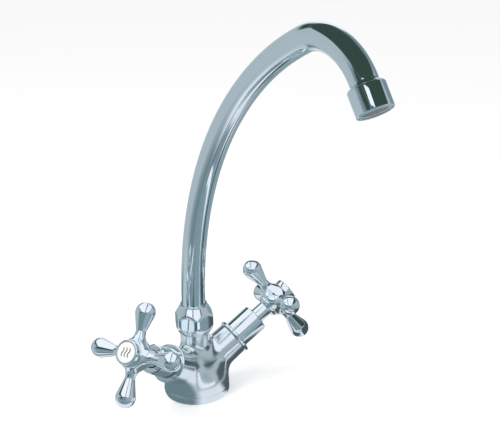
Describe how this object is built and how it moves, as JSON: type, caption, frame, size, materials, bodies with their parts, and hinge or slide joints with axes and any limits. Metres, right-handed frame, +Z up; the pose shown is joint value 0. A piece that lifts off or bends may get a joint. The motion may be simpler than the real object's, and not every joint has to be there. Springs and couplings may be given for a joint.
{
  "type": "two-handle kitchen mixer tap",
  "caption": "Single-hole two-handle kitchen mixer tap with a tall swivelling swan-neck spout and cross handles.",
  "frame": {"origin": "centre of the base's underside, on the worktop and on the spout's axis", "axes": "+Z up along the column; -Y is the front, where the spout reaches; +X is the cold side"},
  "size_m": [0.1818, 0.2432, 0.3151],
  "materials": {
    "chrome": "polished chrome plate",
    "brass": "turned, bare",
    "rubber": "moulded",
    "white_plastic": "moulded",
    "ceramic": "lapped ceramic",
    "porcelain": "glazed porcelain",
    "steel": "stainless, drawn"
  },
  "bodies": {
    "root": {"mixer_body": "chrome", "spout_nut": "chrome", "base_seal": "rubber", "slip_ring": "white_plastic", "hot_seat_seal": "rubber", "hot_fixed_disc": "ceramic", "hot_valve_housing": "brass", "hot_housing_seal": "rubber", "hot_valve_shroud": "chrome", "cold_seat_seal": "rubber", "cold_fixed_disc": "ceramic", "cold_valve_housing": "brass", "cold_housing_seal": "rubber", "cold_valve_shroud": "chrome"},
    "spout": {"spout_tube": "chrome", "spout_ferrule": "brass", "spout_seals": "rubber", "outlet_socket": "chrome", "aerator_housing": "chrome", "aerator_seal": "rubber", "aerator_insert": "white_plastic", "aerator_screen": "steel"},
    "hot_handle": {"hot_valve_spindle": "brass", "hot_moving_disc": "ceramic", "hot_spindle_seal": "rubber", "hot_spindle_clip": "steel", "hot_cross_handle": "chrome", "hot_handle_screw": "steel", "hot_index_cap": "chrome", "hot_index_disc": "porcelain"},
    "cold_handle": {"cold_valve_spindle": "brass", "cold_moving_disc": "ceramic", "cold_spindle_seal": "rubber", "cold_spindle_clip": "steel", "cold_cross_handle": "chrome", "cold_handle_screw": "steel", "cold_index_cap": "chrome", "cold_index_disc": "porcelain"}
  },
  "joints": [
    {"name": "spout_swivel", "type": "hinge", "parent": "root", "child": "spout", "pos_m": [0, 0, 0.0742], "axis": [0, 0, 1], "continuous": true},
    {"name": "hot_handle_turn", "type": "hinge", "parent": "root", "child": "hot_handle", "pos_m": [-0.06912, -0.01723, 0.06131], "axis": [-0.8229, -0.2052, 0.5299], "range_deg": [0, 90]},
    {"name": "cold_handle_turn", "type": "hinge", "parent": "root", "child": "cold_handle", "pos_m": [0.06912, -0.01723, 0.06131], "axis": [0.8229, -0.2052, 0.5299], "range_deg": [-90, 0]}
  ]
}
